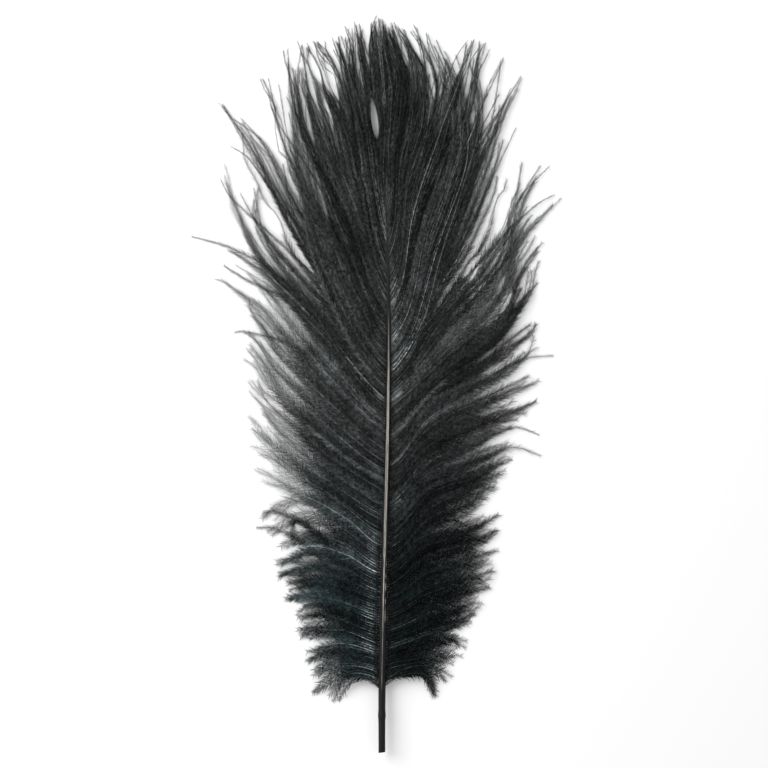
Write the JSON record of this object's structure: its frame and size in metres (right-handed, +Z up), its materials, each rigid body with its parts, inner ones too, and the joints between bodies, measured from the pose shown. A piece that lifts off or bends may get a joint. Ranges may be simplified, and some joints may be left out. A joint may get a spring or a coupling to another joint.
{
  "type": "ostrich feather",
  "caption": "Black ostrich plume lying flat: a bare hollow quill running into a slender grooved shaft, with a wide soft vane of drooping barbs on each side.",
  "frame": {"origin": "centre of the plume's outline, on the surface it lies on", "axes": "+Y from the cut quill towards the tip, +X towards the right vane, +Z up from the surface, the shaft's grooved side up"},
  "size_m": [0.187, 0.4022, 0.0088],
  "materials": {
    "horn": "smooth black-dyed horn, satin, with a pale worn streak along the groove",
    "barbs": "soft black-dyed down with a faint sheen"
  },
  "bodies": {
    "root": {"shaft": "horn", "left_vane": "barbs", "right_vane": "barbs"}
  },
  "joints": []
}
